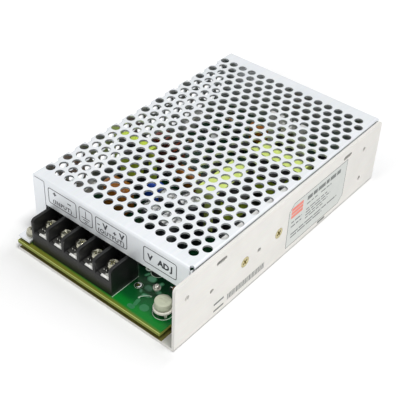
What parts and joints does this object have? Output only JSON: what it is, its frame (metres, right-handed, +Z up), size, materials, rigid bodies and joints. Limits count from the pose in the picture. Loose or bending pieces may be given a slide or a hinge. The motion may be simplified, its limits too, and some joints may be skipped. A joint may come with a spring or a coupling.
{
  "type": "dc-dc converter",
  "caption": "Enclosed dc-dc converter: folded metal case with a perforated cover, and an open bay with screw terminals, a trimmer and a lamp.",
  "frame": {"origin": "middle of the underside", "axes": "+X across the case towards the full-height wall, +Y along the case away from the terminals, +Z up"},
  "size_m": [0.097, 0.159, 0.038],
  "materials": {
    "bracket_aluminium": "satin",
    "cover_sheet": "satin, zinc plated",
    "plated_steel": "bright nickel plated",
    "yellow_zinc": "yellow passivated zinc",
    "terminal_nickel": "bright nickel",
    "tinned_contact": "bright tin",
    "insulation_film": "matt",
    "board_laminate": "green solder mask",
    "terminal_moulding": "moulded, fine grain",
    "trimmer_moulding": "moulded, satin",
    "trimmer_cap": "moulded, satin",
    "lamp_lens": "cast, clear-white",
    "bobbin_moulding": "moulded",
    "ferrite": "ground ferrite",
    "winding_tape": "polyester tape",
    "core_tape": "polyester tape",
    "enamelled_copper": "enamelled wire",
    "heat_pad": "matt silicone",
    "device_moulding": "moulded",
    "can_sleeve": "shrunk sleeve",
    "film_dip": "dipped",
    "disc_dip": "dipped",
    "fuse_ceramic": "glazed tube",
    "resistor_coat": "lacquered"
  },
  "bodies": {
    "root": {"base_bracket": "bracket_aluminium", "heat_spreader": "bracket_aluminium", "rear_heat_sink": "bracket_aluminium", "top_cover": "cover_sheet", "cover_screws": "plated_steel", "board_standoffs": "plated_steel", "board_screws": "plated_steel", "device_screws": "plated_steel", "rear_device_screw": "plated_steel", "wire_links": "plated_steel", "wall_screws": "yellow_zinc", "terminal_contacts": "tinned_contact", "insulation_sheet": "insulation_film", "circuit_board": "board_laminate", "terminal_block": "terminal_moulding", "trimmer_frame": "trimmer_moulding", "indicator_led": "lamp_lens", "transformer_bobbin": "bobbin_moulding", "choke_bobbin": "bobbin_moulding", "filter_bobbin": "bobbin_moulding", "transformer_core": "ferrite", "choke_core": "ferrite", "filter_core": "ferrite", "ring_choke_core": "ferrite", "transformer_winding": "winding_tape", "choke_winding": "winding_tape", "filter_winding": "winding_tape", "transformer_tape": "core_tape", "choke_tape": "core_tape", "filter_tape": "core_tape", "ring_choke_winding": "enamelled_copper", "spreader_pad": "heat_pad", "power_devices": "device_moulding", "rear_device": "device_moulding", "control_chips": "device_moulding", "diodes": "device_moulding", "drum_choke": "device_moulding", "output_capacitors": "can_sleeve", "small_capacitors": "can_sleeve", "bead_capacitors": "can_sleeve", "film_capacitors": "film_dip", "surge_disc": "disc_dip", "fuse": "fuse_ceramic", "resistors": "resistor_coat"},
    "clamp_1": {"terminal_clamp_1": "terminal_nickel"},
    "clamp_2": {"terminal_clamp_2": "terminal_nickel"},
    "clamp_3": {"terminal_clamp_3": "terminal_nickel"},
    "clamp_4": {"terminal_clamp_4": "terminal_nickel"},
    "clamp_5": {"terminal_clamp_5": "terminal_nickel"},
    "screw_1": {"terminal_screw_1": "terminal_nickel"},
    "screw_2": {"terminal_screw_2": "terminal_nickel"},
    "screw_3": {"terminal_screw_3": "terminal_nickel"},
    "screw_4": {"terminal_screw_4": "terminal_nickel"},
    "screw_5": {"terminal_screw_5": "terminal_nickel"},
    "knob": {"trimmer_knob": "trimmer_cap"}
  },
  "joints": [
    {"name": "clamp_1_lift", "type": "slide", "parent": "root", "child": "clamp_1", "axis": [0, 0, 1], "range_m": [0, 0.0024]},
    {"name": "clamp_2_lift", "type": "slide", "parent": "root", "child": "clamp_2", "axis": [0, 0, 1], "range_m": [0, 0.0024]},
    {"name": "clamp_3_lift", "type": "slide", "parent": "root", "child": "clamp_3", "axis": [0, 0, 1], "range_m": [0, 0.0024]},
    {"name": "clamp_4_lift", "type": "slide", "parent": "root", "child": "clamp_4", "axis": [0, 0, 1], "range_m": [0, 0.0024]},
    {"name": "clamp_5_lift", "type": "slide", "parent": "root", "child": "clamp_5", "axis": [0, 0, 1], "range_m": [0, 0.0024]},
    {"name": "screw_1_turn", "type": "hinge", "parent": "clamp_1", "child": "screw_1", "pos_m": [-0.0348, -0.0698, 0.0153], "axis": [0, 0, 1], "range_deg": [0, 1441]},
    {"name": "screw_2_turn", "type": "hinge", "parent": "clamp_2", "child": "screw_2", "pos_m": [-0.025, -0.0698, 0.0153], "axis": [0, 0, 1], "range_deg": [0, 1441]},
    {"name": "screw_3_turn", "type": "hinge", "parent": "clamp_3", "child": "screw_3", "pos_m": [-0.0152, -0.0698, 0.0153], "axis": [0, 0, 1], "range_deg": [0, 1441]},
    {"name": "screw_4_turn", "type": "hinge", "parent": "clamp_4", "child": "screw_4", "pos_m": [-0.0054, -0.0698, 0.0153], "axis": [0, 0, 1], "range_deg": [0, 1441]},
    {"name": "screw_5_turn", "type": "hinge", "parent": "clamp_5", "child": "screw_5", "pos_m": [0.0044, -0.0698, 0.0153], "axis": [0, 0, 1], "range_deg": [0, 1441]},
    {"name": "knob_turn", "type": "hinge", "parent": "root", "child": "knob", "pos_m": [0.0331, -0.0691, 0.0096], "axis": [0, 0, 1], "range_deg": [-130, 130]}
  ],
  "couplings": [
    {"joint": "screw_1_turn", "follows": "clamp_1_lift", "rad_per_m": 10472},
    {"joint": "screw_2_turn", "follows": "clamp_2_lift", "rad_per_m": 10472},
    {"joint": "screw_3_turn", "follows": "clamp_3_lift", "rad_per_m": 10472},
    {"joint": "screw_4_turn", "follows": "clamp_4_lift", "rad_per_m": 10472},
    {"joint": "screw_5_turn", "follows": "clamp_5_lift", "rad_per_m": 10472}
  ]
}
